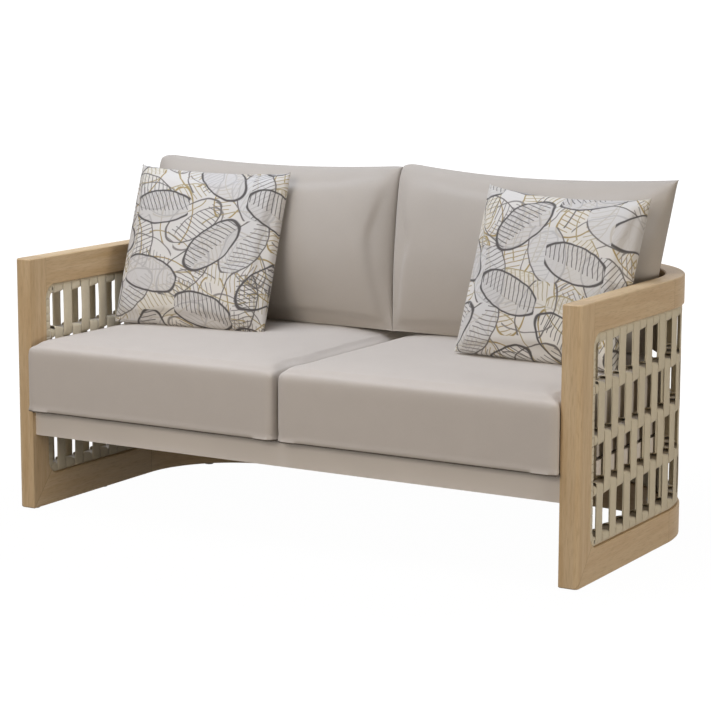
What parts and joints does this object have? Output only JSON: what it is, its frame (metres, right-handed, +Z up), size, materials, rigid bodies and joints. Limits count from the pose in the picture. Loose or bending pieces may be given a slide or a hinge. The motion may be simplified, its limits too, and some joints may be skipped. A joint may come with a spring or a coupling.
{
  "type": "patio loveseat",
  "caption": "Outdoor loveseat: wooden frame with rounded rear corners, strap woven sides and back, loose seat and back cushions and patterned throw pillows.",
  "frame": {"origin": "on the floor, under the middle of the whole seat, cushions included", "axes": "+X along the seat to the sitter's left, which is the viewer's right from the front; +Y towards the back; +Z up"},
  "size_m": [1.622, 0.86, 0.9056],
  "materials": {
    "teak": "sealed matt teak",
    "strap": "flat woven outdoor strap",
    "coated_metal": "matt powder coat",
    "steel": "plain stainless",
    "glide": "matt",
    "cushion_cloth": "plain woven outdoor cloth",
    "pillow_cloth": "printed woven cloth"
  },
  "bodies": {
    "frame": {"left_front_post": "teak", "right_front_post": "teak", "left_arm_rail": "teak", "right_arm_rail": "teak", "left_side_bottom_rail": "teak", "right_side_bottom_rail": "teak", "left_top_corner_rail": "teak", "right_top_corner_rail": "teak", "left_bottom_corner_rail": "teak", "right_bottom_corner_rail": "teak", "back_top_rail": "teak", "back_bottom_rail": "teak", "rail_tenons": "teak", "floor_glides": "glide", "support_screws": "steel", "left_side_straps": "strap", "right_side_straps": "strap", "left_corner_straps": "strap", "right_corner_straps": "strap", "left_end_binding": "strap", "right_end_binding": "strap", "back_straps": "strap", "left_side_weave_tubes": "coated_metal", "right_side_weave_tubes": "coated_metal", "left_corner_weave_tubes": "coated_metal", "right_corner_weave_tubes": "coated_metal", "left_weave_end_tube": "coated_metal", "right_weave_end_tube": "coated_metal", "back_weave_tubes": "coated_metal", "front_apron": "coated_metal", "seat_rear_rail": "coated_metal", "seat_bearer": "coated_metal", "seat_slats": "coated_metal", "seat_support_bars": "coated_metal", "left_seat_side_rail": "coated_metal", "right_seat_side_rail": "coated_metal", "left_seat_corner_rail": "coated_metal", "right_seat_corner_rail": "coated_metal"},
    "left_seat": {"left_seat_cushion": "cushion_cloth"},
    "left_back": {"left_back_cushion": "cushion_cloth"},
    "left_pillow": {"left_throw_pillow": "pillow_cloth"},
    "right_seat": {"right_seat_cushion": "cushion_cloth"},
    "right_back": {"right_back_cushion": "cushion_cloth"},
    "right_pillow": {"right_throw_pillow": "pillow_cloth"}
  },
  "joints": [
    {"name": "left_seat_lift", "type": "slide", "parent": "frame", "child": "left_seat", "axis": [0, 0, 1], "range_m": [0, 0.42]},
    {"name": "left_back_lift", "type": "slide", "parent": "left_seat", "child": "left_back", "axis": [0, 0, 1], "range_m": [0, 0.24]},
    {"name": "left_pillow_lift", "type": "slide", "parent": "left_seat", "child": "left_pillow", "axis": [0, 0, 1], "range_m": [0, 0.24]},
    {"name": "right_seat_lift", "type": "slide", "parent": "frame", "child": "right_seat", "axis": [0, 0, 1], "range_m": [0, 0.42]},
    {"name": "right_back_lift", "type": "slide", "parent": "right_seat", "child": "right_back", "axis": [0, 0, 1], "range_m": [0, 0.24]},
    {"name": "right_pillow_lift", "type": "slide", "parent": "right_seat", "child": "right_pillow", "axis": [0, 0, 1], "range_m": [0, 0.24]}
  ]
}
